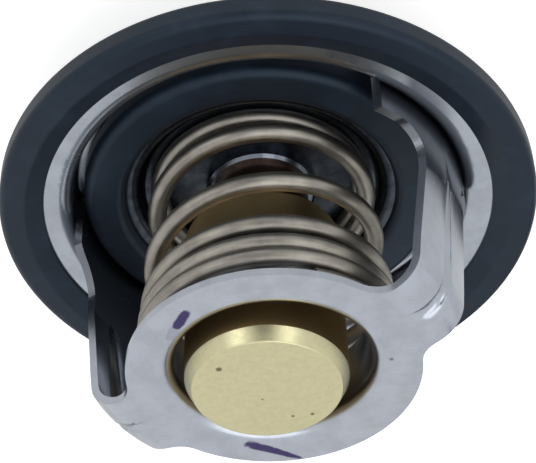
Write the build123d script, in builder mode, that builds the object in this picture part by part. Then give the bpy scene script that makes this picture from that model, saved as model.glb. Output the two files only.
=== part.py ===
"""Wax-pellet coolant valve for an engine's 54 mm thermostat housing.

It stands on the flat crown of its upper bridge, with +Z towards the closed end of the wax capsule.
The Z axis is the axis of the flange. Sizes are in millimetres.
"""

import os
from math import cos, radians, sin

from build123d import *

os.makedirs("parts", exist_ok=True)

# Clearances
running_fit = 0.05  # radial, piston in its guide
assembly_fit = 0.05  # radial, pieces that are slipped over one another
seat_gap = 0.05  # valve rubber to the seat, at rest
press_margin = 1.0  # how far a cutting outline reaches past the sheet it cuts

# Gasket: a moulded ring that grips the flange's rim
gasket_radius = 27.0
gasket_thickness = 3.0
gasket_lip = 0.25
gasket_round = 0.8
gasket_cover = 1.8  # how far the gasket reaches past the flange's rim
gasket_crest_radius = gasket_radius - 2.5
gasket_inner_radius = gasket_radius - 4.4

# Valve rubber, which the flange's pocket and the frame's legs clear
rubber_outer_radius = 18.05
rubber_cover = 1.05  # how far the rubber reaches past the disc's rim
valve_clearance = 1.7

# Flange: a drawn steel plate with a pocket that ends in the inward valve seat
flange_sheet = 0.8
flange_rim_radius = gasket_radius - gasket_cover
flange_height = 13.0  # crown of the bridge to the flange's outlet face
pocket_radius = rubber_outer_radius + valve_clearance
pocket_depth = 4.4
seat_width = 2.95
seat_radius = pocket_radius - seat_width
shoulder_bend = 0.9
pocket_bend = 0.6

# Upper bridge: a strip welded under the seat, holding the piston
bridge_sheet = 1.0
bridge_width = 10.0
bridge_crown_half = 8.5
bridge_knee = seat_radius - 0.2
bridge_foot = bridge_knee + 3.0
bridge_bend = 0.8
bridge_collar_radius = 2.7
bridge_collar_height = 1.6
bridge_foot_round = 2.0

# Lower frame: a pierced cup whose two legs hook through the pocket floor
frame_sheet = 0.8
frame_height = 21.5  # flange's outlet face to the top of the ring plate
tab_inner_radius = pocket_radius - frame_sheet - assembly_fit
tab_half_width = 8.7
tab_height = 3.2  # flange's outlet face to the top edge of the tabs
tab_fillet = 3.0
tab_corner = 0.5
tongue_half_width = 4.0
tongue_reach = 1.8
slot_clearance = 0.15
leg_width = 8.6
leg_waist_width = 7.0
leg_upright = 7.6  # flange's outlet face to where the legs start to lean in
leg_lean = 1.5
leg_lean_bend = 6.0
leg_top_inner_radius = tab_inner_radius - leg_lean
leg_top_bend = 2.8
ear_length = 3.5
ear_fillet = 2.8
ring_radius = leg_top_inner_radius - ear_length
ring_hole_radius = 10.15
ring_lip_bend = 0.8
ring_lip_height = 1.2
bead_radius = 0.8
bead_lift = 0.15  # the pressing tool's centre line above the sheet
bead_fade = 0.5  # how much farther out the tool is at the bead's two ends
bead_start = 7.0  # flange's outlet face to the foot of the stiffening bead
bead_run = 4.2  # how far the bead runs in over the ring plate from the leg's inner face

# Capsule group, which hangs a little off the flange's axis towards the -X leg
valve_shift = 0.8
neck_radius = 4.3
guide_end = 4.5  # crown of the bridge to the guide's mouth
guide_shoulder_radius = 4.8
guide_flange_thickness = 2.0
guide_groove_depth = 0.5
piston_radius = 1.85
piston_tip_radius = 1.2
piston_tip_recess = 0.15
piston_engagement = 12.7
washer_thickness = 0.5
piston_nose = 0.3

# Valve disc
valve_sheet = 0.8
valve_floor = 0.2  # seat to the disc's floor
valve_step_radius = 12.0
valve_step_height = 1.5
valve_step_run = 0.9
valve_step_bend = 0.5
valve_rim_radius = rubber_outer_radius - rubber_cover
rubber_inner_radius = valve_step_radius + valve_step_run + 0.8
rubber_thickness = 2.55
rubber_round = 1.1
rubber_edge_round = 0.25
collar_radius = 5.6
collar_thickness = 1.2
clip_radius = 6.0
clip_thickness = 0.9
clip_opening = 5.2
mouth_chamfer = 0.4

# Wax capsule
cup_radius = 7.75
cup_wall = 1.05
cup_floor = 1.2
cup_crimp = 0.9
cup_crimp_radius = 5.2
cup_crimp_round = 0.8
cup_length = 18.8
cup_stand = 1.6  # ring plate to the capsule's closed end
cup_chamfer_radial = 0.7
cup_chamfer_axial = 1.4
diaphragm_thickness = 1.2

# Spring: right-handed, closed and ground at both ends, wider at the frame than at the valve
wire_radius = 0.95
ground_depth = 0.4
coil_radius_valve = 10.15
coil_radius_frame = 12.35
coil_passes = (0.7, 3.2, 10.4, 16.3, 19.0, 21.1)  # wire's height over the disc, once a turn
coil_lead_in = 0.4  # turns from the wire's first end to the first of those passes
coil_lead_out = 0.95  # turns from the last of those passes to the wire's other end
coil_pass_azimuth = 60.0
points_per_turn = 8

# Levels above the bridge's crown
flange_top = flange_height + flange_sheet
seat_under = flange_height - pocket_depth
seat_top = seat_under + flange_sheet
frame_top = flange_height + frame_height
frame_under = frame_top - frame_sheet
tab_bottom = seat_top + pocket_bend
tab_top = flange_height + tab_height
disc_top = seat_top + valve_floor
disc_under = disc_top - valve_sheet
collar_top = disc_top + collar_thickness
clip_under = disc_under - clip_thickness
cup_top = frame_top + cup_stand
cup_mouth = cup_top - cup_length
guide_flange_under = cup_mouth + cup_crimp
guide_top = guide_flange_under + guide_flange_thickness
wax_under = guide_top + diaphragm_thickness
wax_top = cup_top - cup_floor
piston_top = guide_end + piston_engagement
washer_top = piston_top + washer_thickness
piston_shoulder = bridge_sheet + bridge_collar_height

# Radii that follow from the fits
bore_radius = piston_radius + running_fit
tip_hole_radius = piston_tip_radius + assembly_fit
cup_bore_radius = cup_radius - cup_wall
cup_fill_radius = cup_bore_radius - assembly_fit
disc_hole_radius = neck_radius + assembly_fit
groove_radius = neck_radius - guide_groove_depth
clip_hole_radius = groove_radius + assembly_fit

# The capsule group turns and slides on its own axis
valve_plane = Plane(origin=(-valve_shift, 0, 0), x_dir=(1, 0, 0), z_dir=(0, -1, 0))
valve_axis = Axis((-valve_shift, 0, 0), (0, 0, 1))


# Flange plate: rim, drawn shoulder, pocket wall and seat in one sheet
with BuildPart() as flange_plate:
    with BuildSketch(Plane.XZ):
        with BuildLine():
            FilletPolyline(
                (flange_rim_radius, flange_top),
                (pocket_radius, flange_top),
                (pocket_radius, seat_top),
                (seat_radius, seat_top),
                radius=[shoulder_bend + flange_sheet, pocket_bend],
            )
            offset(amount=flange_sheet, side=Side.LEFT)
        make_face()
    revolve(axis=Axis.Z)
    # Two curved slots in the pocket floor let the frame's tongues through
    with BuildSketch(Plane.XY.offset(seat_under)):
        Circle(pocket_radius)
        Circle(tab_inner_radius - slot_clearance, mode=Mode.SUBTRACT)
        Rectangle(
            2 * gasket_radius, 2 * (tongue_half_width + slot_clearance), mode=Mode.INTERSECT
        )
    extrude(amount=flange_sheet + pocket_bend, mode=Mode.SUBTRACT)

# Gasket: a moulded ring that grips the rim of the flange
with BuildPart() as gasket_ring:
    gasket_middle = flange_height + flange_sheet / 2
    lip_half = flange_sheet / 2 + gasket_lip
    with BuildSketch(Plane.XZ) as gasket_section:
        with BuildLine():
            Polyline(
                (gasket_inner_radius, gasket_middle - lip_half),
                (gasket_crest_radius, gasket_middle - gasket_thickness / 2),
                (gasket_radius, gasket_middle - gasket_thickness / 2),
                (gasket_radius, gasket_middle + gasket_thickness / 2),
                (gasket_crest_radius, gasket_middle + gasket_thickness / 2),
                (gasket_inner_radius, gasket_middle + lip_half),
                close=True,
            )
        make_face()
        outer_corners = gasket_section.vertices().filter_by_position(
            Axis.X, gasket_crest_radius, gasket_radius
        )
        fillet(outer_corners, radius=gasket_round)
        with Locations((flange_rim_radius, gasket_middle)):
            Rectangle(
                flange_rim_radius - seat_radius,
                flange_sheet,
                align=(Align.MAX, Align.CENTER),
                mode=Mode.SUBTRACT,
            )
    revolve(axis=Axis.Z)

# Upper bridge: crown, two sloping legs and feet welded under the seat
with BuildPart() as upper_bridge:
    with BuildSketch(Plane.YZ):
        with BuildLine():
            FilletPolyline(
                (-bridge_foot, seat_under),
                (-bridge_knee, seat_under),
                (-bridge_crown_half, bridge_sheet),
                (bridge_crown_half, bridge_sheet),
                (bridge_knee, seat_under),
                (bridge_foot, seat_under),
                radius=[
                    bridge_bend + bridge_sheet,
                    bridge_bend,
                    bridge_bend,
                    bridge_bend + bridge_sheet,
                ],
            )
            offset(amount=bridge_sheet, side=Side.RIGHT)
        make_face()
    extrude(amount=bridge_width / 2, both=True)
    foot_corners = upper_bridge.edges().filter_by(Axis.Z).group_by(SortBy.DISTANCE)[-1]
    fillet(foot_corners, radius=bridge_foot_round)
    with BuildSketch(Plane.XY.offset(bridge_sheet)):
        with Locations((-valve_shift, 0)):
            Circle(bridge_collar_radius)
    extrude(amount=bridge_collar_height)
    with BuildSketch(Plane.XY):
        with Locations((-valve_shift, 0)):
            Circle(tip_hole_radius)
    extrude(amount=piston_shoulder, mode=Mode.SUBTRACT)

# Lower frame, first as a full cup: hooked foot, wall, leaning leg, bend, ring plate and hole lip
with BuildPart() as frame_cup:
    with BuildSketch(Plane.XZ):
        with BuildLine():
            FilletPolyline(
                (tab_inner_radius - tongue_reach, seat_under),
                (tab_inner_radius, seat_under),
                (tab_inner_radius, flange_height + leg_upright),
                (leg_top_inner_radius, frame_under),
                (ring_hole_radius + frame_sheet, frame_under),
                (ring_hole_radius + frame_sheet, frame_under - ring_lip_height),
                radius=[slot_clearance / 2, leg_lean_bend, leg_top_bend, ring_lip_bend],
            )
            offset(amount=frame_sheet, side=Side.RIGHT)
        make_face()
    revolve(axis=Axis.Z)

# What the press tool leaves of that cup: tongues, tabs and legs from the side, the ring from above
frame_split = frame_under - leg_top_bend - press_margin
with BuildPart() as frame_outline:
    with BuildSketch(Plane.YZ) as leg_outline:
        with Locations((0, tab_bottom)):
            Rectangle(
                2 * tab_half_width, tab_top - tab_bottom, align=(Align.CENTER, Align.MIN)
            )
            Rectangle(
                2 * tongue_half_width, tab_bottom, align=(Align.CENTER, Align.MAX)
            )
        with BuildLine():
            Polyline(
                (-leg_waist_width / 2, tab_bottom),
                (-leg_waist_width / 2, tab_top),
                (-leg_width / 2, frame_split),
                (leg_width / 2, frame_split),
                (leg_waist_width / 2, tab_top),
                (leg_waist_width / 2, tab_bottom),
                close=True,
            )
        make_face()
        inner_corners = leg_outline.vertices().filter_by_position(
            Axis.Y, tab_top - tab_corner, tab_top + tab_corner
        )
        fillet(inner_corners.sort_by(SortBy.DISTANCE)[:2], radius=tab_fillet)
        fillet(inner_corners.sort_by(SortBy.DISTANCE)[2:], radius=tab_corner)
    extrude(amount=gasket_radius, both=True)
    with BuildSketch(Plane.XY.offset(frame_split)) as ring_outline:
        Circle(ring_radius)
        Rectangle(2 * gasket_radius, leg_width)
        ear_corners = ring_outline.vertices().filter_by_position(
            Axis.X, -ring_radius, ring_radius
        )
        fillet(ear_corners, radius=ear_fillet)
    extrude(amount=frame_top - frame_split + press_margin)

# Beads: a round channel pressed into each leg, over its bend and onto the ring plate
lean_start = flange_height + leg_upright
lean_slope = (leg_top_inner_radius - tab_inner_radius) / (frame_under - lean_start)
bead_foot = flange_height + bead_start
bead_crest = frame_top + bead_lift
bead_outset = frame_sheet + bead_lift


def leg_radius(height, outset):
    """Return the radius of a leg at a height, that far out of its inner face."""
    return tab_inner_radius + lean_slope * (height - lean_start) + outset


def bead_bar(radius):
    """Return a round-ended bar that runs up the face of the +X leg and over its bend."""
    with BuildPart() as bar:
        with BuildLine() as route:
            FilletPolyline(
                (leg_radius(bead_foot, bead_outset + bead_fade), 0, bead_foot),
                (leg_radius(bead_crest, bead_outset), 0, bead_crest),
                (leg_top_inner_radius - bead_run, 0, bead_crest + bead_fade),
                radius=leg_top_bend + bead_outset,
            )
        with BuildSketch(Plane(route.line @ 0, z_dir=route.line % 0)):
            Circle(radius)
        sweep()
        with Locations(route.line @ 0, route.line @ 1):
            Sphere(radius)
    return bar.part


# The inside of the frame as far as the middle of its sheet, which bounds the beads' ridges
with BuildPart() as frame_core:
    with BuildSketch(Plane.XZ) as core_section:
        with BuildLine():
            Polyline(
                (0, lean_start),
                (leg_radius(lean_start, frame_sheet / 2), lean_start),
                (leg_radius(frame_under, frame_sheet / 2), frame_top - frame_sheet / 2),
                (0, frame_top - frame_sheet / 2),
                close=True,
            )
        make_face()
        fillet(core_section.vertices().sort_by(SortBy.DISTANCE)[-1], leg_top_bend + frame_sheet / 2)
    revolve(axis=Axis.Z)

with BuildPart() as lower_frame:
    add(frame_cup.part)
    add(frame_outline.part, mode=Mode.INTERSECT)
    for turned in (0, 180):
        ridge = bead_bar(bead_radius + frame_sheet) & frame_core.part
        add(ridge.rotate(Axis.Z, turned))
        add(bead_bar(bead_radius).rotate(Axis.Z, turned), mode=Mode.SUBTRACT)

# Valve disc: floor round the capsule's neck, a step, and the rim that holds the rubber
with BuildPart() as valve_disc:
    step_top = disc_top + valve_step_height
    with BuildSketch(valve_plane):
        with BuildLine():
            FilletPolyline(
                (disc_hole_radius, disc_top),
                (valve_step_radius, disc_top),
                (valve_step_radius + valve_step_run, step_top),
                (valve_rim_radius, step_top),
                radius=[valve_step_bend, valve_step_bend + valve_sheet],
            )
            offset(amount=valve_sheet, side=Side.RIGHT)
        make_face()
    revolve(axis=valve_axis)

# Valve rubber: a ring moulded round the disc's rim
with BuildPart() as valve_rubber:
    rubber_bottom = seat_top + seat_gap
    with BuildSketch(valve_plane) as rubber_section:
        with Locations((rubber_inner_radius, rubber_bottom)):
            Rectangle(rubber_outer_radius - rubber_inner_radius, rubber_thickness, align=Align.MIN)
        fillet(rubber_section.vertices().group_by(Axis.Y)[-1], radius=rubber_round)
        fillet(rubber_section.vertices().group_by(Axis.Y)[0], radius=rubber_edge_round)
        with Locations((valve_rim_radius, step_top)):
            Rectangle(
                valve_rim_radius - valve_step_radius, valve_sheet, align=Align.MAX, mode=Mode.SUBTRACT
            )
    revolve(axis=valve_axis)

# Collar: a steel washer between the disc and the guide's shoulder
with BuildPart() as valve_collar:
    with BuildSketch(Plane.XY.offset(disc_top)):
        with Locations((-valve_shift, 0)):
            Circle(collar_radius)
            Circle(disc_hole_radius, mode=Mode.SUBTRACT)
    extrude(amount=collar_thickness)
    chamfer(valve_collar.edges().group_by(Axis.Z)[-1].sort_by(Edge.length)[-1], length=0.3)

# Clip: an open ring in the guide's groove, which carries the disc as the valve opens
with BuildPart() as retaining_clip:
    with BuildSketch(Plane.XY.offset(clip_under)):
        with Locations((-valve_shift, 0)):
            Circle(clip_radius)
            Circle(clip_hole_radius, mode=Mode.SUBTRACT)
            Rectangle(
                clip_radius, clip_opening, align=(Align.MIN, Align.CENTER), mode=Mode.SUBTRACT
            )
    extrude(amount=clip_thickness)

# Piston guide: neck, groove, shoulder and the flange that the capsule is crimped over
with BuildPart() as piston_guide:
    with BuildSketch(valve_plane):
        with BuildLine():
            Polyline(
                (bore_radius, guide_end),
                (neck_radius - mouth_chamfer, guide_end),
                (neck_radius, guide_end + mouth_chamfer),
                (neck_radius, clip_under - assembly_fit),
                (groove_radius, clip_under - assembly_fit),
                (groove_radius, disc_under),
                (neck_radius, disc_under),
                (neck_radius, collar_top),
                (guide_shoulder_radius, collar_top),
                (guide_shoulder_radius, guide_flange_under),
                (cup_fill_radius, guide_flange_under),
                (cup_fill_radius, guide_top),
                (bore_radius, guide_top),
                close=True,
            )
        make_face()
    revolve(axis=valve_axis)

# Capsule cup: drawn brass, turned flat at the closed end and crimped under the guide's flange
with BuildPart() as capsule_cup:
    with BuildSketch(valve_plane) as cup_section:
        with BuildLine():
            Polyline(
                (0, cup_top),
                (cup_radius - cup_chamfer_radial, cup_top),
                (cup_radius, cup_top - cup_chamfer_axial),
                (cup_radius, cup_mouth),
                (cup_crimp_radius, cup_mouth),
                (cup_crimp_radius, guide_flange_under),
                (cup_bore_radius, guide_flange_under),
                (cup_bore_radius, wax_top),
                (0, wax_top),
                close=True,
            )
        make_face()
        crimp_corner = cup_section.vertices().group_by(Axis.Y)[0].sort_by(Axis.X)[-1]
        fillet(crimp_corner, radius=cup_crimp_round)
    revolve(axis=valve_axis)


def capsule_disc(radius, bottom, top):
    """Return a plain cylinder on the capsule's axis between two heights."""
    with BuildPart() as disc:
        with BuildSketch(Plane.XY.offset(bottom)):
            with Locations((-valve_shift, 0)):
                Circle(radius)
        extrude(amount=top - bottom)
    return disc.part


# Inside the capsule: wax, the diaphragm over the guide, and the plug and washer on the piston
with BuildPart() as wax_charge:
    add(capsule_disc(cup_fill_radius, wax_under, wax_top))

with BuildPart() as diaphragm:
    add(capsule_disc(cup_fill_radius, guide_top, wax_under))

with BuildPart() as rubber_plug:
    add(capsule_disc(piston_radius, washer_top, guide_top))

with BuildPart() as plug_washer:
    add(capsule_disc(piston_radius, piston_top, washer_top))

# Piston: a hardened pin whose stepped tip stands in the bridge
with BuildPart() as piston:
    with BuildSketch(valve_plane):
        with BuildLine():
            Polyline(
                (0, piston_tip_recess),
                (piston_tip_radius, piston_tip_recess),
                (piston_tip_radius, piston_shoulder),
                (piston_radius, piston_shoulder),
                (piston_radius, piston_top - piston_nose),
                (piston_radius - piston_nose, piston_top),
                (0, piston_top),
                close=True,
            )
        make_face()
    revolve(axis=valve_axis)


def coil_height(turn):
    """Return the wire's height at a turn, on a smooth curve through the passes of one side."""
    end_height = wire_radius - ground_depth
    turns = [0.0]
    heights = [disc_top + end_height]
    for count, height in enumerate(coil_passes):
        turns.append(coil_lead_in + count)
        heights.append(disc_top + height)
    turns.append(turns[-1] + coil_lead_out)
    heights.append(frame_under - end_height)
    slopes = [
        (heights[i + 1] - heights[i]) / (turns[i + 1] - turns[i]) for i in range(len(turns) - 1)
    ]
    span = sum(turn > knot for knot in turns[1:-1])
    width = turns[span + 1] - turns[span]
    share = (turn - turns[span]) / width
    # Harmonic means of the slopes on both sides keep the curve from dipping between passes
    start_slope = 2 / (1 / slopes[span - 1] + 1 / slopes[span]) if span else slopes[0]
    last = span == len(slopes) - 1
    end_slope = slopes[-1] if last else 2 / (1 / slopes[span] + 1 / slopes[span + 1])
    rise = share * share * (3 - 2 * share)
    lead = share * (1 - share) ** 2 * start_slope * width
    tail = share * share * (1 - share) * end_slope * width
    return heights[span] + rise * (heights[span + 1] - heights[span]) + lead - tail


# Main spring, from the valve disc to the ring plate
coil_turns = coil_lead_in + len(coil_passes) - 1 + coil_lead_out
coil_steps = round(coil_turns * points_per_turn)
coil_points = []
for step in range(coil_steps + 1):
    done = step / coil_steps
    turn = done * coil_turns
    azimuth = radians(coil_pass_azimuth + 360 * (turn - coil_lead_in))
    radius = coil_radius_valve + (coil_radius_frame - coil_radius_valve) * done
    offset_x = -valve_shift * (1 - done)
    coil_points.append(
        (offset_x + radius * cos(azimuth), radius * sin(azimuth), coil_height(turn))
    )

with BuildPart() as main_spring:
    with BuildLine() as wire_line:
        Spline(*coil_points)
    with BuildSketch(Plane(wire_line.line @ 0, z_dir=wire_line.line % 0)):
        Circle(wire_radius)
    sweep()
    with BuildSketch(Plane.XY.offset(disc_top)):
        Circle(ring_radius)
    extrude(amount=frame_under - disc_top, mode=Mode.INTERSECT)

for node, name in (
    (flange_plate, "flange_plate"),
    (gasket_ring, "gasket_ring"),
    (upper_bridge, "upper_bridge"),
    (lower_frame, "lower_frame"),
    (main_spring, "main_spring"),
    (valve_disc, "valve_disc"),
    (valve_rubber, "valve_rubber"),
    (valve_collar, "valve_collar"),
    (retaining_clip, "retaining_clip"),
    (piston_guide, "piston_guide"),
    (capsule_cup, "capsule_cup"),
    (wax_charge, "wax_charge"),
    (diaphragm, "diaphragm"),
    (rubber_plug, "rubber_plug"),
    (plug_washer, "plug_washer"),
    (piston, "piston"),
):
    node.part.label = name
    export_step(node.part, f"parts/{name}.step")
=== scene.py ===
"""Looks of a wax-pellet coolant valve: its turned, drawn and moulded pieces, and the studio."""

import logging
import math
from collections.abc import Sequence
from dataclasses import dataclass, field
from enum import Enum

import bmesh
import bpy
from mathutils import Matrix, Vector


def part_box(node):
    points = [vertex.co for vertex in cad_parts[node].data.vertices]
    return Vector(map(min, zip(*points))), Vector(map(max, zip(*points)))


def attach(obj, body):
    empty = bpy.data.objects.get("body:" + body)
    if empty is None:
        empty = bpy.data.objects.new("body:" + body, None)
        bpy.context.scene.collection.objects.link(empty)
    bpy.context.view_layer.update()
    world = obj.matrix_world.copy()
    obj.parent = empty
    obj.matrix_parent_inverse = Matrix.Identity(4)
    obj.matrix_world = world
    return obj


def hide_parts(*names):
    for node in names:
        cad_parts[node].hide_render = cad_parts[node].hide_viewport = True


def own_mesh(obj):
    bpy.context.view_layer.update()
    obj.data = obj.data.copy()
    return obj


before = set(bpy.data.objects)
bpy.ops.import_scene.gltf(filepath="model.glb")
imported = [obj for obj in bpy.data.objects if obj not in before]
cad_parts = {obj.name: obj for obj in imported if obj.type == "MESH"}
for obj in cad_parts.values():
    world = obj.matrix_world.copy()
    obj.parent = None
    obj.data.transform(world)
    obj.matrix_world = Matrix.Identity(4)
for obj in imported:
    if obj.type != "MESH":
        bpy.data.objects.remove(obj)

log = logging.getLogger("thermostat")
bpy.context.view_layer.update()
MM = 0.001
SAME_POINT = 1e-5  # points of a new mesh that are this close are one, in millimetres
WIRE_POINT = "wire_point"  # attribute: place on the wire's section, and along its length
PART_MIDDLE = (0.0, 0.0, 0.02)  # what the lights face, in metres
BELOW_ALL = -1.0  # a height under the whole part, in millimetres, for a wall with no browning
Colour = tuple[float, float, float]
WHITE: Colour = (1.0, 1.0, 1.0)
BLACK: Colour = (0.0, 0.0, 0.0)


class Body(Enum):
    """The two bodies of the frame that pieces ride on."""

    HOUSING = "housing"
    VALVE = "valve"


# ---------------------------------------------------------------------------------------------
# Shader bench
# ---------------------------------------------------------------------------------------------


class Signal:
    """A number that varies over a surface. Arithmetic on it adds Math nodes."""

    def __init__(self, bench: "Bench", socket: bpy.types.NodeSocket) -> None:
        """Wrap an output socket of a node on a bench."""
        self.bench = bench
        self.socket = socket

    def _math(self, operation: str, *values: "Signal | float") -> "Signal":
        """Add a Math node with these inputs and return its output."""
        return self.bench.node(
            "ShaderNodeMath", {"operation": operation}, dict(enumerate(values))
        )

    def __add__(self, other: "Signal | float") -> "Signal":
        """Return self + other."""
        return self._math("ADD", self, other)

    def __radd__(self, other: float) -> "Signal":
        """Return other + self."""
        return self._math("ADD", other, self)

    def __sub__(self, other: "Signal | float") -> "Signal":
        """Return self - other."""
        return self._math("SUBTRACT", self, other)

    def __rsub__(self, other: float) -> "Signal":
        """Return other - self."""
        return self._math("SUBTRACT", other, self)

    def __mul__(self, other: "Signal | float") -> "Signal":
        """Return self * other."""
        return self._math("MULTIPLY", self, other)

    def __rmul__(self, other: float) -> "Signal":
        """Return other * self."""
        return self._math("MULTIPLY", other, self)

    def __truediv__(self, other: "Signal | float") -> "Signal":
        """Return self / other."""
        return self._math("DIVIDE", self, other)

    def larger(self, other: "Signal | float") -> "Signal":
        """Return the larger of two numbers."""
        return self._math("MAXIMUM", self, other)

    def distance(self, other: "Signal") -> "Signal":
        """Return the length of a flat vector with these two parts."""
        return self._math("SQRT", self * self + other * other)

    def swing(self, width: float) -> "Signal":
        """Return a noise from 0 to 1 as an offset about zero, this wide in all."""
        return (self - 0.5) * width

    def step(self, low: float, high: float) -> "Signal":
        """Return a smooth step from 0 at low to 1 at high.

        Args:
            low: value at which the step starts.
            high: value at which it is complete; below low the step falls instead.

        Returns:
            The step, from 0 to 1.
        """
        return self.bench.node(
            "ShaderNodeMapRange",
            {"interpolation_type": "SMOOTHSTEP"},
            {"Value": self, "From Min": low, "From Max": high},
        )


Value = Signal | float | Sequence[float]


@dataclass(frozen=True)
class Grain:
    """A fractal noise.

    Attributes:
        scale: features to a millimetre.
        detail: octaves.
        rough: how strong each finer octave is.
    """

    scale: float
    detail: float
    rough: float


def shaded(colour: Colour, share: float) -> list[float]:
    """Return a colour made darker, or lighter above a share of 1."""
    return [part * share for part in colour]


class Bench:
    """One material's node tree, with its Principled shader ready to be fed."""

    def __init__(self, name: str) -> None:
        """Make an empty material of that name."""
        self.material = bpy.data.materials.new(name)
        self.material.use_nodes = True
        self.tree = self.material.node_tree
        self.tree.nodes.clear()
        self.output = self.tree.nodes.new("ShaderNodeOutputMaterial")
        self.shader = self.tree.nodes.new("ShaderNodeBsdfPrincipled")
        self.tree.links.new(self.shader.outputs[0], self.output.inputs["Surface"])

    def node(
        self,
        kind: str,
        settings: dict[str, object] | None = None,
        values: dict[str | int, Value] | None = None,
        output: str | int = 0,
    ) -> Signal:
        """Add a node, set it up and feed it.

        Args:
            kind: the node's type name.
            settings: its own settings, such as a Math node's operation.
            values: what goes in each input, by name or number.
            output: the output that is returned.

        Returns:
            The wrapped output.
        """
        made = self.tree.nodes.new(kind)
        for name, setting in (settings or {}).items():
            setattr(made, name, setting)
        for name, value in (values or {}).items():
            self.feed(made.inputs[name], value)
        return Signal(self, made.outputs[output])

    def feed(self, socket: bpy.types.NodeSocket, value: Value) -> None:
        """Link a signal to an input, or set the input to a number or a colour."""
        if isinstance(value, Signal):
            self.tree.links.new(value.socket, socket)
        elif isinstance(value, (int, float)):
            socket.default_value = value
        elif len(value) == 3 and len(socket.default_value) == 4:
            socket.default_value = (*value, 1.0)
        else:
            socket.default_value = value

    def surface(self, **values: Value) -> bpy.types.Material:
        """Feed the Principled shader and return the material.

        Args:
            **values: its inputs, with spaces written as underscores.

        Returns:
            The finished material.
        """
        for name, value in values.items():
            self.feed(self.shader.inputs[name.replace("_", " ")], value)
        return self.material

    def place(self, centre: Sequence[float] = (0, 0, 0), turn: float = 0.0) -> Signal:
        """Return the object's coordinates in millimetres about a centre.

        Args:
            centre: the centre of the pattern, in millimetres.
            turn: how far the pattern is turned about +Z, in degrees.

        Returns:
            The coordinates as a vector.
        """
        raw = self.node("ShaderNodeTexCoord", output="Object")
        return self.node(
            "ShaderNodeMapping",
            {"vector_type": "TEXTURE"},
            {
                "Vector": raw,
                "Location": [c * MM for c in centre],
                "Rotation": (0.0, 0.0, math.radians(turn)),
                "Scale": (MM, MM, MM),
            },
        )

    def axes(self, vector: Signal) -> tuple[Signal, Signal, Signal]:
        """Return the three parts of a vector."""
        split = self.node("ShaderNodeSeparateXYZ", values={0: vector})
        outputs = split.socket.node.outputs
        return tuple(Signal(self, outputs[i]) for i in range(3))

    def vector(self, x: Value, y: Value, z: Value) -> Signal:
        """Return a vector made of three numbers."""
        return self.node("ShaderNodeCombineXYZ", values={0: x, 1: y, 2: z})

    def noise(self, vector: Signal, grain: Grain) -> Signal:
        """Return a grain, from about 0 to 1, read at a place in millimetres."""
        return self.node(
            "ShaderNodeTexNoise",
            values={
                "Vector": vector,
                "Scale": grain.scale,
                "Detail": grain.detail,
                "Roughness": grain.rough,
            },
        )

    def mix(self, share: Value, first: Value, second: Value) -> Signal:
        """Return a colour between two colours."""
        return self.node(
            "ShaderNodeMix", {"data_type": "RGBA"}, {0: share, 6: first, 7: second}, output=2
        )

    def bump(self, height: Signal, depth: float) -> Signal:
        """Return the normal of a relief from 0 to 1 that is this deep, in millimetres."""
        return self.node(
            "ShaderNodeBump", values={"Height": height, "Distance": depth * MM, "Strength": 1.0}
        )

    def viewed(self) -> Signal:
        """Return 1 for what is seen, plainly, in metal or through glass, and 0 for light."""
        rays = [
            self.node("ShaderNodeLightPath", output=f"Is {kind} Ray")
            for kind in ("Camera", "Glossy", "Transmission")
        ]
        return rays[0].larger(rays[1]).larger(rays[2])


class SkyBench(Bench):
    """The world's node tree, with its Background ready to be fed."""

    def __init__(self, name: str) -> None:
        """Make a plain world of that name."""
        self.world = bpy.data.worlds.new(name)
        self.world.use_nodes = True
        self.tree = self.world.node_tree
        self.background = self.tree.nodes["Background"]


# ---------------------------------------------------------------------------------------------
# Finishes
# ---------------------------------------------------------------------------------------------


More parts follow.
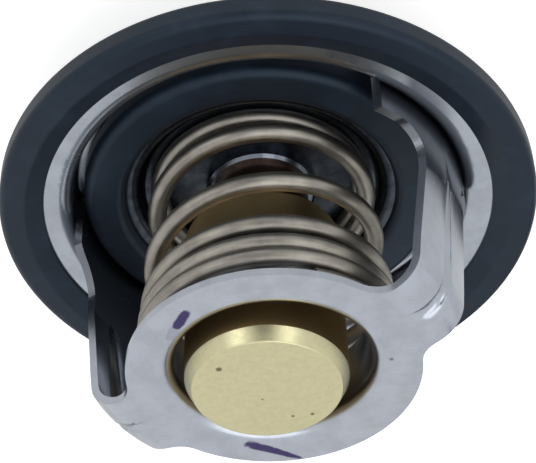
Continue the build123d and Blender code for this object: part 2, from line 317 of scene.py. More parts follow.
@dataclass(frozen=True)
class SheetSteel:
    """Drawn sheet: cool grey, softly mottled, with tumbling marks.

    Attributes:
        name: the material's name.
        colour: the steel's colour.
        roughness: its roughness.
        painted_shade_heights: heights over which painted shade fades out upwards, in millimetres;
            it stands for the dark rubber and pocket that the tabs and lower legs reflect.
        mottle: the mottling.
        mottle_shade: how bright its darker parts are.
        marks: the tumbling marks.
        mark_depth: how deep they are, in millimetres.
        painted_shade_level: how bright the steel is in the painted shade.
        painted_shade_cover: how strongly the painted shade covers the steel.
        painted_shade_wander: how far the painted shade's edge wanders, in millimetres.
    """

    name: str
    colour: Colour = (0.39, 0.42, 0.465)
    roughness: float = 0.24
    painted_shade_heights: tuple[float, float] | None = None
    mottle: Grain = Grain(0.35, 3.0, 0.6)
    mottle_shade: float = 0.88
    marks: Grain = Grain(2.2, 4.0, 0.65)
    mark_depth: float = 0.003
    painted_shade_level: float = 0.3
    painted_shade_cover: float = 0.92
    painted_shade_wander: float = 3.0

    def material(self) -> bpy.types.Material:
        """Return the material."""
        return self.coat(Bench(self.name))

    def coat(
        self, bench: Bench, stain: Value = BLACK, cover: Signal | None = None
    ) -> bpy.types.Material:
        """Dress the sheet, with a stain over part of it.

        Args:
            bench: the material's bench.
            stain: the stain's colour.
            cover: how much of the steel the stain hides, from 0 to 1.

        Returns:
            The finished material.
        """
        where = bench.place()
        mottle = bench.noise(where, self.mottle)
        marks = bench.noise(where, self.marks)
        dull = shaded(self.colour, self.mottle_shade)
        shade = bench.mix(mottle.step(0.35, 0.7), self.colour, dull)
        # Painted shade: the sheet gets darker towards the bottom, for the dark rubber and pocket
        # that the tabs and lower legs reflect. Here film is that shade's share.
        if self.painted_shade_heights is not None:
            low, high = self.painted_shade_heights
            height = bench.axes(where)[2] + mottle.swing(self.painted_shade_wander)
            film = height.step(high, low) * self.painted_shade_cover
            shade = bench.mix(film, shade, shaded(self.colour, self.painted_shade_level))
        gloss = self.roughness + marks.swing(0.1) + mottle.swing(0.12)
        metal: Value = 1.0
        if cover is not None:
            shade = bench.mix(cover, shade, stain)
            gloss = gloss + cover * 0.25
            metal = 1 - cover * 0.9
        return bench.surface(
            Base_Color=shade,
            Metallic=metal,
            Roughness=gloss,
            Normal=bench.bump(marks, self.mark_depth),
        )


@dataclass(frozen=True)
class Stroke:
    """A short pen stroke on the ring plate, in millimetres and degrees.

    Attributes:
        middle: its middle, from the part's axis.
        turn: its direction, from +X.
        length: its length.
        width: its width at the middle.
        taper: how much narrower it is at its far end, as a share of the width.
        strength: how dark the ink is, from 0 to 1.
        edge: the grain that makes its edge ragged.
        ragged: how ragged the edge is, as a share of the stroke's half.
    """

    middle: tuple[float, float]
    turn: float
    length: float
    width: float
    taper: float = 0.0
    strength: float = 1.0
    edge: Grain = Grain(1.4, 4.0, 0.6)
    ragged: float = 0.7

    def mask(self, bench: Bench) -> Signal:
        """Return where the ink lies, from 0 to 1."""
        x, y, _ = bench.axes(bench.place((*self.middle, 0.0), self.turn))
        along = x / (self.length / 2)
        across = y / (self.width / 2) * (1 + along * self.taper)
        edge = bench.noise(bench.place(), self.edge).swing(self.ragged)
        reach = (along * along).distance(across) + edge
        return reach.step(1.2, 0.75) * self.strength


@dataclass(frozen=True)
class RingPlateSteel(SheetSteel):
    """The frame's sheet, with the assembler's violet pen strokes and a dark speck on its ring."""

    ink: Colour = (0.021, 0.011, 0.092)
    strokes: tuple[Stroke, ...] = (
        Stroke(middle=(-3.0, 11.2), turn=213.0, length=2.9, width=1.0),
        Stroke(middle=(-4.3, 10.35), turn=215.0, length=3.2, width=1.0, strength=0.22),
        Stroke(middle=(-6.3, -10.35), turn=-57.5, length=6.2, width=0.95, taper=0.4),
    )
    speck: tuple[float, float] = (10.21, -4.11)

    def material(self) -> bpy.types.Material:
        """Return the material."""
        bench = Bench(self.name)
        x, y, _ = bench.axes(bench.place((*self.speck, 0.0)))
        cover = x.distance(y).step(0.3, 0.1) * 0.6
        for stroke in self.strokes:
            cover = cover.larger(stroke.mask(bench))
        return self.coat(bench, self.ink, cover)


@dataclass(frozen=True)
class MouldedRubber:
    """Moulded black rubber with a bluish sheen and a bloom of talc.

    Attributes:
        name: the material's name.
        colour: the rubber's colour.
        roughness: its roughness.
        sheen: the colour of its reflections.
        shine: how strong they are.
        skin: the mould's grain.
        skin_depth: how deep that is, in millimetres.
        bloom: where talc has stayed on it.
        bloom_shade: how bright it is there, as a share of the colour.
    """

    name: str
    colour: Colour = (0.008, 0.012, 0.02)
    roughness: float = 0.42
    sheen: Colour = (0.6, 0.8, 1.0)
    shine: float = 0.32
    skin: Grain = Grain(3.0, 5.0, 0.6)
    skin_depth: float = 0.006
    bloom: Grain = Grain(0.28, 4.0, 0.6)
    bloom_shade: float = 1.7

    def material(self) -> bpy.types.Material:
        """Return the material."""
        bench = Bench(self.name)
        where = bench.place()
        skin = bench.noise(where, self.skin)
        bloom = bench.noise(where, self.bloom)
        pale = shaded(self.colour, self.bloom_shade)
        return bench.surface(
            Base_Color=bench.mix(bloom.step(0.45, 0.75), self.colour, pale),
            Specular_IOR_Level=self.shine,
            Specular_Tint=self.sheen,
            Roughness=self.roughness + skin.swing(0.16) + bloom.swing(0.12),
            Normal=bench.bump(skin, self.skin_depth),
        )


@dataclass(frozen=True)
class DrawnWire:
    """Spring wire with streaks drawn out along it, over a darker ground of oil.

    Attributes:
        name: the material's name.
        colour: the clean wire's colour.
        ground: the colour of the wire under oil.
        roughness: its roughness.
        streaks: the streaks, read round the section and along the wire.
        streak_stretch: how that reading is scaled, so that they run along the wire.
        streak_depth: how deep they are, in millimetres.
        patches: where oil has stayed on it.
    """

    name: str
    colour: Colour = (0.345, 0.325, 0.29)
    ground: Colour = (0.215, 0.2, 0.178)
    roughness: float = 0.4
    streaks: Grain = Grain(2.2, 3.0, 0.55)
    streak_stretch: tuple[float, float, float] = (1.0, 1.0, 0.12)
    streak_depth: float = 0.002
    patches: Grain = Grain(0.4, 3.0, 0.55)

    def material(self) -> bpy.types.Material:
        """Return the material."""
        bench = Bench(self.name)
        around = bench.node(
            "ShaderNodeAttribute", {"attribute_name": WIRE_POINT}, output="Vector"
        )
        drawn = bench.node(
            "ShaderNodeMapping", values={"Vector": around, "Scale": self.streak_stretch}
        )
        streaks = bench.noise(drawn, self.streaks)
        patches = bench.noise(bench.place(), self.patches)
        clean = (streaks * 0.5 + patches * 0.5).step(0.34, 0.66)
        return bench.surface(
            Base_Color=bench.mix(clean, self.ground, self.colour),
            Metallic=1.0,
            Roughness=self.roughness + streaks.swing(0.12),
            Normal=bench.bump(streaks, self.streak_depth),
        )


@dataclass(frozen=True)
class TurnedBrass:
    """Brass with fine rings turned about an axis, specks and a browned wall.

    Attributes:
        name: the material's name.
        centre: a point of the axis, in millimetres.
        wall_top: the height up to which the wall is browned, in millimetres.
        colour: the turned face's colour.
        tarnish: the browned wall's colour.
        specks: place and size of each dark speck on the face, in millimetres.
        turning: the fine rings, read over radius and height.
        ring_depth: how deep they are, in millimetres.
        stain: where the wall is browner.
        film: the face's mottling.
        film_shade: how bright its darker parts are.
        grit: fine dirt.
        grime_shade: how bright dirt is, as a share of the tarnish.
    """

    name: str
    centre: tuple[float, float, float]
    wall_top: float
    colour: Colour = (0.6, 0.565, 0.35)
    tarnish: Colour = (0.62, 0.43, 0.2)
    specks: tuple[tuple[float, float, float], ...] = ()
    turning: Grain = Grain(9.0, 3.0, 0.7)
    ring_depth: float = 0.012
    stain: Grain = Grain(0.6, 3.0, 0.6)
    film: Grain = Grain(1.6, 5.0, 0.7)
    film_shade: float = 0.92
    grit: Grain = Grain(4.5, 2.0, 0.5)
    grime_shade: float = 0.12

    def material(self) -> bpy.types.Material:
        """Return the material."""
        bench = Bench(self.name)
        where = bench.place(self.centre)
        x, y, z = bench.axes(where)
        rings = bench.noise(bench.vector(x.distance(y), z * 0.7, 0.0), self.turning)
        stain = bench.noise(where, self.stain)
        film = bench.noise(where, self.film)
        wall = z.step(self.wall_top + 0.05, self.wall_top - 0.1)
        brown = wall * (0.78 + stain.swing(0.8)).step(0.0, 1.0)
        face = bench.mix(film.step(0.38, 0.68), self.colour, shaded(self.colour, self.film_shade))
        grime = bench.noise(where, self.grit).step(0.66, 0.8) * 0.35
        for speck_x, speck_y, size in self.specks:
            spot = (x - speck_x).distance(y - speck_y) + film.swing(size)
            grime = grime.larger(spot.step(size, size * 0.4) * 0.8)
        clean = bench.mix(brown, face, self.tarnish)
        return bench.surface(
            Base_Color=bench.mix(grime, clean, shaded(self.tarnish, self.grime_shade)),
            Metallic=1.0,
            Roughness=0.3 + rings.swing(0.12) + film.swing(0.14) + wall * 0.04,
            Normal=bench.bump(rings, self.ring_depth),
        )


@dataclass(frozen=True)
class BrightSteel:
    """Pressed and turned steel inside the spring, bright under a film of oil.

    Attributes:
        name: the material's name.
        colour: the steel's colour.
        roughness: its roughness.
        film: the film of oil.
        film_shade: how bright the steel is under its thicker parts.
        film_depth: how deep its relief is, in millimetres.
    """

    name: str
    colour: Colour = (0.38, 0.39, 0.41)
    roughness: float = 0.2
    film: Grain = Grain(0.9, 4.0, 0.6)
    film_shade: float = 0.6
    film_depth: float = 0.01

    def material(self) -> bpy.types.Material:
        """Return the material."""
        bench = Bench(self.name)
        film = bench.noise(bench.place(), self.film)
        dark = shaded(self.colour, self.film_shade)
        return bench.surface(
            Base_Color=bench.mix(film.step(0.4, 0.7), self.colour, dark),
            Metallic=1.0,
            Roughness=self.roughness + film.swing(0.2),
            Normal=bench.bump(film, self.film_depth),
        )


Finish = SheetSteel | MouldedRubber | DrawnWire | TurnedBrass | BrightSteel


# ---------------------------------------------------------------------------------------------
# Shaping
# ---------------------------------------------------------------------------------------------


@dataclass(frozen=True)
class Corner:
    """A corner of a turned section: radius, height and the round on it, in millimetres."""

    r: float
    z: float
    round: float = 0.0


def turn_at(before: Corner, corner: Corner, after: Corner) -> float:
    """Return how far the outline turns at a corner, in radians."""
    first = Vector((corner.r - before.r, corner.z - before.z))
    second = Vector((after.r - corner.r, after.z - corner.z))
    return first.angle(second)


def arc_segments(turn: float, radius: float) -> int:
    """Return how many segments an arc of this turn, in radians, and radius is made of."""
    return max(3, round(4 + 5 * turn * radius))


def lathe(
    corners: Sequence[Corner], centre_x: float = 0.0, steps: int = 256
) -> bmesh.types.BMesh:
    """Turn a closed section about an upright axis.

    Args:
        corners: the section's corners, in order, on the +X side of the axis.
        centre_x: the axis's place along X, in millimetres.
        steps: facets round the axis.

    Returns:
        The closed mesh, in millimetres.
    """
    bm = bmesh.new()
    ring = [bm.verts.new((centre_x + c.r, 0.0, c.z)) for c in corners]
    bm.faces.new(ring)
    for i, corner in enumerate(corners):
        if corner.round <= 0:
            continue
        turn = turn_at(corners[i - 1], corner, corners[(i + 1) % len(corners)])
        bmesh.ops.bevel(
            bm,
            geom=[ring[i]],
            offset=corner.round * math.tan(turn / 2),
            offset_type="OFFSET",
            segments=arc_segments(turn, corner.round),
            profile=0.5,
            affect="VERTICES",
            clamp_overlap=False,
            material=-1,
        )
    bmesh.ops.delete(bm, geom=bm.faces[:], context="FACES_ONLY")
    on_axis = [
        edge for edge in bm.edges if all(abs(v.co.x - centre_x) < SAME_POINT for v in edge.verts)
    ]
    bmesh.ops.delete(bm, geom=on_axis, context="EDGES")
    bmesh.ops.spin(
        bm,
        geom=bm.verts[:] + bm.edges[:],
        cent=(centre_x, 0, 0),
        axis=(0, 0, 1),
        angle=math.tau,
        steps=steps,
        use_merge=True,
    )
    bmesh.ops.remove_doubles(bm, verts=bm.verts[:], dist=SAME_POINT)
    bmesh.ops.recalc_face_normals(bm, faces=bm.faces[:])
    return bm


def finish_piece(
    bm: bmesh.types.BMesh,
    name: str,
    material: bpy.types.Material,
    body: Body,
    node: str,
    keep: bool = False,
    sharp: float = 38.0,
) -> bpy.types.Object:
    """Turn a mesh in millimetres into a dressed piece that rides on a body.

    Args:
        bm: the mesh, which is used up.
        name: the piece's name.
        material: its finish.
        body: the body it moves with.
        node: the CAD node it stands for.
        keep: whether that node stays, because the piece only adds to it.
        sharp: edges that turn by more degrees than this stay sharp.

    Returns:
        The piece.
    """
    bmesh.ops.scale(bm, verts=bm.verts[:], vec=(MM, MM, MM))
    mesh = bpy.data.meshes.new(name)
    bm.to_mesh(mesh)
    bm.free()
    mesh.shade_smooth()
    mesh.set_sharp_from_angle(angle=math.radians(sharp))
    mesh.materials.append(material)
    piece = bpy.data.objects.new(name, mesh)
    piece.modifiers.new("even_normals", "WEIGHTED_NORMAL").keep_sharp = True
    bpy.context.scene.collection.objects.link(piece)
    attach(piece, body.value)
    if not keep:
        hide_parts(node)
    log.info("%s: %d faces", name, len(mesh.polygons))
    return piece


def eased(share: float) -> float:
    """Return a share from 0 to 1 with a gentle start and end."""
    return share * share * (3 - 2 * share)


def dress_node(node: str, material: bpy.types.Material) -> None:
    """Give a CAD node whose own shape is right its finish."""
    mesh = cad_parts[node].data
    mesh.materials.clear()
    mesh.materials.append(material)
    log.info("%s: %s", node, material.name)


@dataclass(frozen=True)
class NodeSpan:
    """Where a CAD node lies, in millimetres."""

    low: Vector
    high: Vector

    @classmethod
    def of(cls, node: str) -> "NodeSpan":
        """Read a node's box from the frame."""
        low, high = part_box(node)
        return cls(low / MM, high / MM)

    @property
    def centre_x(self) -> float:
        """Middle along X."""
        return (self.low.x + self.high.x) / 2

    @property
    def radius(self) -> float:
        """Half the width along Y."""
        return (self.high.y - self.low.y) / 2


# ---------------------------------------------------------------------------------------------
# Housing: flange, gasket, frame and bridge
# ---------------------------------------------------------------------------------------------


@dataclass
class Flange:
    """The drawn flange with its gasket, in millimetres.

    Attributes:
        sheet: the flange's thickness.
        lip: the gasket's thickness at its inner edge, on each side of the sheet.
        lip_round: the round on that edge.
        inner_radius: where the gasket begins.
        crest_radius: where it reaches its full height.
        crest_round: the round on its crests and rim.
        steps: facets round the gasket.
    """

    sheet: float = 0.8
    lip: float = 0.25
    lip_round: float = 0.12
    inner_radius: float = 22.6
    crest_radius: float = 24.5
    crest_round: float = 0.8
    steps: int = 320

    def build_gasket(self) -> bmesh.types.BMesh:
        """Return the moulded ring that grips the rim."""
        span = NodeSpan.of("gasket_ring")
        top, bottom, outer = span.high.z, span.low.z, span.radius
        middle = (top + bottom) / 2
        half = self.sheet / 2
        groove = NodeSpan.of("flange_plate").radius
        return lathe(
            [
                Corner(self.inner_radius, middle + half),
                Corner(self.inner_radius, middle + half + self.lip, self.lip_round),
                Corner(self.crest_radius, top, self.crest_round),
                Corner(outer, top, self.crest_round),
                Corner(outer, bottom, self.crest_round),
                Corner(self.crest_radius, bottom, self.crest_round),
                Corner(self.inner_radius, middle - half - self.lip, self.lip_round),
                Corner(self.inner_radius, middle - half),
                Corner(groove, middle - half),
                Corner(groove, middle + half),
            ],
            steps=self.steps,
        )

    def dress(self) -> None:
        """Finish the plate and build the gasket."""
        dress_node("flange_plate", SheetSteel("flange_steel").material())
        rubber = MouldedRubber("gasket_rubber").material()
        finish_piece(self.build_gasket(), "gasket", rubber, Body.HOUSING, "gasket_ring")


@dataclass
class Stampings:
    """The pierced frame over the spring, its drawn collar and the bridge, in millimetres.

    Attributes:
        sheet: the frame's thickness.
        collar_radius: the collar's inner radius, about the capsule.
        collar_bend: the bend's outer radius.
        collar_depth: how far the collar is drawn down.
        collar_edge: the round on its lower edge.
        collar_reach: how far it lies over the ring plate.
        skin: how far it stands above the plate.
        bend_start: where the plate begins to bend into a leg.
        leg_bend: that bend's outer radius.
        bead_end: where a leg's bead has run out, from the axis.
        bead_fade: over what length it runs out.
        bead_width: half the width in which it lies.
        bead_depth: more than its depth, and less than the sheet.
        weld: how close points of the sheet are to be one.
        sliver: edges shorter than this are dissolved.
        flat_turn: faces that turn by less than this are joined, in degrees.
        cut_edge: edges that turn by more than this stay sharp, in degrees.
    """

    sheet: float = 0.8
    collar_radius: float = 9.3
    collar_bend: float = 1.7
    collar_depth: float = 7.4
    collar_edge: float = 0.15
    collar_reach: float = 12.2
    skin: float = 0.002
    bend_start: float = 14.6
    leg_bend: float = 3.6
    bead_end: float = 14.2
    bead_fade: float = 3.4
    bead_width: float = 1.3
    bead_depth: float = 0.7
    weld: float = 1e-4
    sliver: float = 2e-3
    flat_turn: float = 0.2
    cut_edge: float = 28.0

    def build_collar(self) -> bmesh.types.BMesh:
        """Return the collar drawn down from the ring plate about the capsule."""
        top = NodeSpan.of("lower_frame").high.z + self.skin
        low, under = top - self.collar_depth, top - self.sheet / 2
        wall, back = self.collar_radius, self.collar_radius + self.sheet
        return lathe(
            [
                Corner(self.collar_reach, top),
                Corner(wall, top, self.collar_bend),
                Corner(wall, low, self.collar_edge),
                Corner(back, low, self.collar_edge),
                Corner(back, under, self.collar_bend - self.sheet),
                Corner(self.collar_reach, under),
            ]
        )

    def bend_at(self, x: float) -> tuple[float, float]:
        """Return where the plate's face lies in its bend into a leg.

        Args:
            x: place along the legs, in millimetres.

        Returns:
            How far the face has fallen below the flat plate, and the cosine of its slope.
        """
        into = max(0.0, min(abs(x) - self.bend_start, self.leg_bend))
        upright = math.sqrt(self.leg_bend**2 - into**2)
        return self.leg_bend - upright, upright / self.leg_bend

    def build_frame(self) -> bmesh.types.BMesh:
        """Return the frame with its beads run out at the flat plate."""
        bm = bmesh.new()
        bm.from_mesh(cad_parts["lower_frame"].data)
        bmesh.ops.scale(bm, verts=bm.verts[:], vec=(1 / MM, 1 / MM, 1 / MM))
        bmesh.ops.remove_doubles(bm, verts=bm.verts[:], dist=self.weld)
        top = NodeSpan.of("lower_frame").high.z
        for vert in bm.verts:
            x, y, z = vert.co
            share = (self.bead_end + self.bead_fade - abs(x)) / self.bead_fade
            if abs(y) > self.bead_width or share <= 0 or abs(x) < self.collar_reach:
                continue
            fall, level = self.bend_at(x)
            sunk = top - fall - z
            if 0 < sunk * level < self.bead_depth:
                vert.co.z += sunk * eased(min(share, 1.0))
        bmesh.ops.dissolve_degenerate(bm, edges=bm.edges[:], dist=self.sliver)
        bmesh.ops.dissolve_limit(
            bm, verts=bm.verts[:], edges=bm.edges[:], angle_limit=math.radians(self.flat_turn)
        )
        return bm

    def dress(self) -> None:
        """Build the frame and its collar and finish the bridge and the piston."""
        # The frame's steel is painted darker towards the flange: painted shade on its tabs and
        # legs.
        steel = RingPlateSteel("frame_steel", (0.43, 0.46, 0.515), painted_shade_heights=(14.0, 29.0)).material()
        sheet, collar = self.build_frame(), self.build_collar()
        finish_piece(
            sheet, "frame_sheet", steel, Body.HOUSING, "lower_frame", sharp=self.cut_edge
        )
        finish_piece(collar, "ring_collar", steel, Body.HOUSING, "lower_frame", keep=True)
        dress_node("upper_bridge", SheetSteel("bridge_steel").material())
        dress_node("piston", BrightSteel("pin_steel", (0.5, 0.5, 0.52), 0.12).material())


# ---------------------------------------------------------------------------------------------
# Spring
# ---------------------------------------------------------------------------------------------


@dataclass
class ConicalSpring:
    """The main spring: uneven pitch, wider at the frame, ground flat, in millimetres.

    Attributes:
        wire: the wire's radius.
        ground: how much of the wire is ground off at each end.
        valve_radius: the coil's radius at the valve, to the wire's middle.
        frame_radius: the same at the frame.
        passes: the wire's height over the valve each time that it passes one side.
        lead_in: turns from the wire's lower end to the first pass.
        lead_out: turns from the last pass to its upper end.
        pass_azimuth: the side of the passes, in degrees from +X.
        lean_x: how far the coil's lower end is off the axis.
        steps_a_turn: facets along a turn.
        facets: facets round the wire.
        nudge: how far apart the points are that give the wire's direction, in turns.
        travel: how far the valve moves; not used.
        span: where the CAD node lies.
    """

    wire: float = 0.95
    ground: float = 0.4
    valve_radius: float = 10.15
    frame_radius: float = 12.35
    passes: tuple[float, ...] = (0.7, 3.2, 10.4, 16.3, 19.0, 21.1)
    lead_in: float = 0.4
    lead_out: float = 0.95
    pass_azimuth: float = 60.0
    lean_x: float = -0.8
    steps_a_turn: int = 60
    facets: int = 24
    nudge: float = 1e-3
    travel: float = 8.0
    span: NodeSpan = field(default_factory=lambda: NodeSpan.of("main_spring"))

    @property
    def turns(self) -> float:
        """Turns from one end of the wire to the other."""
        return self.lead_in + len(self.passes) - 1 + self.lead_out

    def height(self, turn: float) -> float:
        """Return the wire's height at a turn, on a smooth curve through the passes.

        Args:
            turn: turns from the wire's lower end.

        Returns:
            The height in millimetres.
        """
        floor, ceiling = self.span.low.z, self.span.high.z
        end = self.wire - self.ground
        turns = [0.0] + [self.lead_in + i for i in range(len(self.passes))] + [self.turns]
        heights = [floor + end] + [floor + h for h in self.passes] + [ceiling - end]
        spans = range(len(turns) - 1)
        slopes = [(heights[i + 1] - heights[i]) / (turns[i + 1] - turns[i]) for i in spans]
        # A cubic in each span. Its slope at a pass is the harmonic mean of the slopes on both
        # sides, so the wire never dips back towards the turn below.
        i = sum(turn > knot for knot in turns[1:-1])
        width = turns[i + 1] - turns[i]
        share = (turn - turns[i]) / width
        start = 2 / (1 / slopes[i - 1] + 1 / slopes[i]) if i else slopes[0]
        last = i == len(slopes) - 1
        end_slope = slopes[-1] if last else 2 / (1 / slopes[i] + 1 / slopes[i + 1])
        rise = eased(share) * (heights[i + 1] - heights[i])
        lead = share * (1 - share) ** 2 * start * width
        return heights[i] + rise + lead - share * share * (1 - share) * end_slope * width

    def centre(self, turn: float) -> Vector:
        """Return the wire's centre at a turn."""
        done = turn / self.turns
        azimuth = math.radians(self.pass_azimuth) + math.tau * (turn - self.lead_in)
        radius = self.valve_radius + (self.frame_radius - self.valve_radius) * done
        axis = Vector((self.lean_x * (1 - done), 0, self.height(turn)))
        return axis + Vector((math.cos(azimuth), math.sin(azimuth), 0)) * radius

    def section_frame(self, turn: float) -> Matrix:
        """Return the place and direction of the wire's section at a turn."""
        ahead = self.centre(min(turn + self.nudge, self.turns))
        behind = self.centre(max(turn - self.nudge, 0.0))
        along = (ahead - behind).normalized()
        side = along.cross(Vector((0, 0, 1))).normalized()
        up = side.cross(along)
        columns = Matrix((side, up, along)).transposed().to_4x4()
        return Matrix.Translation(self.centre(turn)) @ columns

    def build(self) -> bmesh.types.BMesh:
        """Return the wire: a sheet rolled round its coil, then ground flat at both ends."""
        bm = bmesh.new()
        along = bm.verts.layers.float_vector.new(WIRE_POINT)
        count = round(self.turns * self.steps_a_turn)
        bmesh.ops.create_grid(bm, x_segments=count, y_segments=self.facets, size=0.5)
        sections = [self.section_frame(i / count * self.turns) for i in range(count + 1)]
        length = math.tau * (self.valve_radius + self.frame_radius) / 2 * self.turns
        for vert in bm.verts:
            share, angle = vert.co.x + 0.5, (vert.co.y + 0.5) * math.tau
            spoke = Vector((math.cos(angle), math.sin(angle), 0))
            vert[along] = (spoke.x, spoke.y, share * length)
            vert.co = sections[round(share * count)] @ (spoke * self.wire)
        bmesh.ops.remove_doubles(bm, verts=bm.verts[:], dist=SAME_POINT)
        bmesh.ops.holes_fill(bm, edges=bm.edges[:])
        for height, upward in ((self.span.low.z, -1), (self.span.high.z, 1)):
            cut = bmesh.ops.bisect_plane(
                bm,
                geom=bm.verts[:] + bm.edges[:] + bm.faces[:],
                plane_co=(0, 0, height),
                plane_no=(0, 0, upward),
                clear_outer=True,
            )
            rim = [g for g in cut["geom_cut"] if isinstance(g, bmesh.types.BMEdge)]
            bmesh.ops.holes_fill(bm, edges=rim)
        bmesh.ops.recalc_face_normals(bm, faces=bm.faces[:])
        return bm

    def dress(self) -> None:
        """Build and finish the spring, and give it a mesh of its own."""
        steel = DrawnWire("spring_steel").material()
        piece = finish_piece(self.build(), "spring_wire", steel, Body.HOUSING, "main_spring")
        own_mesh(piece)


# ---------------------------------------------------------------------------------------------
# Valve and capsule
# ---------------------------------------------------------------------------------------------


@dataclass
class ValveGroup:
    """What slides on the piston: disc, rubber, collar, clip, guide and capsule, in millimetres.

    Attributes:
        crimp: thickness of the cup's lip, crimped over the guide.
        crimp_radius: the lip's inner radius.
        crimp_round: the round from the wall into the lip.
        wall: the cup's wall.
        end: the thickness of its closed end.
        chamfer_out: how far the turned chamfer cuts into the end's face.
        chamfer_up: how far it cuts into the wall.
        edge: the round on the cup's turned edges.
        specks: place and size of each dark speck on the end's face.
    """

    crimp: float = 0.9
    crimp_radius: float = 5.2
    crimp_round: float = 0.8
    wall: float = 1.05
    end: float = 1.2
    chamfer_out: float = 0.7
    chamfer_up: float = 1.4
    edge: float = 0.12
    specks: tuple[tuple[float, float, float], ...] = (
        (-2.11, 5.07, 0.4),
        (1.67, -5.42, 0.26),
        (-0.04, -4.7, 0.2),
        (-1.11, -0.93, 0.15),
    )

    def build_cup(self) -> bmesh.types.BMesh:
        """Return the capsule's shell: crimped lip, wall, chamfer and turned end."""
        span = NodeSpan.of("capsule_cup")
        radius, top, bottom = span.radius, span.high.z, span.low.z
        bore, crimp_top, floor = radius - self.wall, bottom + self.crimp, top - self.end
        return lathe(
            [
                Corner(0.0, top),
                Corner(radius - self.chamfer_out, top, self.edge),
                Corner(radius, top - self.chamfer_up, self.edge),
                Corner(radius, bottom, self.crimp_round),
                Corner(self.crimp_radius, bottom, self.edge),
                Corner(self.crimp_radius, crimp_top),
                Corner(bore, crimp_top),
                Corner(bore, floor),
                Corner(0.0, floor),
            ],
            centre_x=span.centre_x,
        )

    def dress(self) -> None:
        """Build and finish the group's pieces."""
        span = NodeSpan.of("capsule_cup")
        axis = (span.centre_x, 0.0, 0.0)
        wall_top = span.high.z - self.chamfer_up
        brass = TurnedBrass("brass", axis, wall_top, specks=self.specks).material()
        finish_piece(self.build_cup(), "capsule_shell", brass, Body.VALVE, "capsule_cup")
        finishes: dict[str, Finish] = {
            "piston_guide": TurnedBrass("neck_brass", axis, BELOW_ALL, (0.26, 0.165, 0.115)),
            "valve_rubber": MouldedRubber("valve_rubber"),
            "valve_disc": BrightSteel("valve_steel", (0.06, 0.07, 0.085), 0.3),
            "valve_collar": BrightSteel("collar_steel", (0.17, 0.19, 0.225), 0.22),
            "retaining_clip": BrightSteel("clip_steel"),
            "plug_washer": MouldedRubber("washer_plastic", (0.5, 0.48, 0.42)),
            "rubber_plug": MouldedRubber("rubber_plug"),
            "diaphragm": MouldedRubber("diaphragm"),
            "wax_charge": MouldedRubber("wax", (0.55, 0.33, 0.18), 0.5),
        }
        for node, finish in finishes.items():
            dress_node(node, finish.material())


# ---------------------------------------------------------------------------------------------
# Studio
# ---------------------------------------------------------------------------------------------


@dataclass(frozen=True)
class SoftBox:
    """A soft light: its place and side in metres, and its power in watts."""

    name: str
    place: tuple[float, float, float]
    side: float
    power: float

    def build(self) -> None:
        """Hang the light so that it faces the part."""
        data = bpy.data.lights.new(self.name, "AREA")
        data.size = self.side
        data.energy = self.power
        light = bpy.data.objects.new(self.name, data)
        light.location = self.place
        aim = Vector(PART_MIDDLE) - Vector(self.place)
        light.rotation_euler = aim.to_track_quat("-Z", "Y").to_euler()
        bpy.context.scene.collection.objects.link(light)


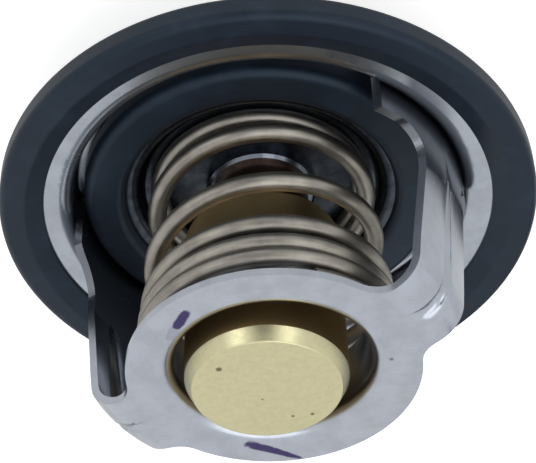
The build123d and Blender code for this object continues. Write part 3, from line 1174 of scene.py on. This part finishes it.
@dataclass
class Studio:
    """A white floor, soft boxes, low dark flags and the camera, in metres.

    Attributes:
        place: the camera's place, in millimetres.
        forward: where it looks.
        up: its upward direction.
        lens: its focal length, in millimetres.
        near: how near it sees.
        floor_size: half the floor's side.
        floor_drop: how far the floor lies under the part.
        floor_colour: the floor's colour.
        floor_glow: how much the floor glows to the camera, which makes it white.
        floor_mirrored: how much of that glow metal and glass show.
        flag_radius: how far the flags stand from the part.
        flag_height: how high they are.
        flag_colour: their colour.
        flag_steps: facets along a flag.
        flags: where each begins and ends, in degrees from +X.
        matt: the roughness of the floor and the flags.
        ambient: the room's light.
        boxes: the soft boxes.
    """

    place: tuple[float, float, float] = (65.81, 114.22, 139.15)
    forward: tuple[float, float, float] = (-0.3659, -0.6337, -0.6816)
    up: tuple[float, float, float] = (0.3713, 0.5722, -0.7313)
    lens: float = 120.9
    near: float = 0.005
    floor_size: float = 3.0
    floor_drop: float = 0.0002
    floor_colour: Colour = (0.8, 0.8, 0.8)
    floor_glow: float = 0.6
    floor_mirrored: Colour = (0.1, 0.1, 0.1)
    flag_radius: float = 1.2
    flag_height: float = 0.5
    flag_colour: Colour = (0.06, 0.06, 0.065)
    flag_steps: int = 24
    flags: tuple[tuple[float, float], ...] = ((-126.0, -68.0), (50.0, 74.0))
    matt: float = 0.9
    ambient: float = 0.8
    boxes: tuple[SoftBox, ...] = (
        SoftBox("key", (0.25, 0.1, 0.6), 0.6, 1.2),
        SoftBox("low_right", (0.43, 0.25, 0.13), 0.16, 0.12),
        SoftBox("low_left", (-0.06, 0.5, 0.13), 0.16, 0.12),
    )

    def add_camera(self) -> None:
        """Add the camera."""
        data = bpy.data.cameras.new("camera")
        data.lens = self.lens
        data.clip_start = self.near
        camera = bpy.data.objects.new("camera", data)
        back = -Vector(self.forward).normalized()
        right = Vector(self.up).cross(back).normalized()
        axes = Matrix((right, back.cross(right), back)).transposed().to_4x4()
        camera.matrix_world = Matrix.Translation(Vector(self.place) * MM) @ axes
        bpy.context.scene.collection.objects.link(camera)
        bpy.context.scene.camera = camera

    def add_stage(self, name: str, bm: bmesh.types.BMesh, bench: Bench) -> bpy.types.Object:
        """Add a piece of the studio.

        Args:
            name: its name.
            bm: its mesh, in metres, which is used up.
            bench: its finish.

        Returns:
            The piece.
        """
        mesh = bpy.data.meshes.new(name)
        bm.to_mesh(mesh)
        bm.free()
        mesh.materials.append(bench.material)
        piece = bpy.data.objects.new(name, mesh)
        bpy.context.scene.collection.objects.link(piece)
        return piece

    def add_floor(self) -> None:
        """Add the floor, white to the viewer save for the part's shadow."""
        bench = Bench("floor")
        camera = bench.node("ShaderNodeLightPath", output="Is Camera Ray")
        mirrored = bench.mix(bench.viewed(), BLACK, self.floor_mirrored)
        bench.surface(
            Base_Color=self.floor_colour,
            Roughness=self.matt,
            Emission_Color=bench.mix(camera, mirrored, WHITE),
            Emission_Strength=self.floor_glow,
        )
        bm = bmesh.new()
        bmesh.ops.create_grid(bm, x_segments=1, y_segments=1, size=self.floor_size)
        bmesh.ops.translate(bm, verts=bm.verts[:], vec=(0, 0, -self.floor_drop))
        self.add_stage("floor", bm, bench)

    def add_flags(self) -> None:
        """Stand low dark bands round the part, which bright metal needs for its dark edges."""
        bench = Bench("flag")
        bench.surface(Base_Color=self.flag_colour, Roughness=self.matt)
        bm = bmesh.new()
        for start, end in self.flags:
            spoke = Vector((math.cos(math.radians(start)), math.sin(math.radians(start)), 0))
            foot = bm.verts.new(spoke * self.flag_radius)
            head = bm.verts.new(foot.co + Vector((0, 0, self.flag_height)))
            post = bm.edges.new((foot, head))
            bmesh.ops.spin(
                bm,
                geom=[foot, head, post],
                cent=(0, 0, 0),
                axis=(0, 0, 1),
                angle=math.radians(end - start),
                steps=self.flag_steps,
            )
        flags = self.add_stage("flags", bm, bench)
        flags.visible_camera = flags.visible_diffuse = flags.visible_shadow = False

    def add_world(self) -> None:
        """Give the room a plain light and a white look."""
        bench = SkyBench("room")
        bench.feed(bench.background.inputs["Color"], WHITE)
        seen = bench.viewed()
        bench.feed(bench.background.inputs["Strength"], seen + (1 - seen) * self.ambient)
        bpy.context.scene.world = bench.world

    def build(self) -> None:
        """Set the studio up."""
        bpy.context.scene.view_settings.view_transform = "Standard"
        self.add_camera()
        self.add_floor()
        self.add_flags()
        self.add_world()
        for box in self.boxes:
            box.build()


def main() -> None:
    """Build the part's looks, then the studio."""
    logging.basicConfig(level=logging.INFO, format="%(message)s")
    for group in (Flange(), Stampings(), ConicalSpring(), ValveGroup()):
        group.dress()
    Studio().build()


if __name__ == "__main__":
    main()
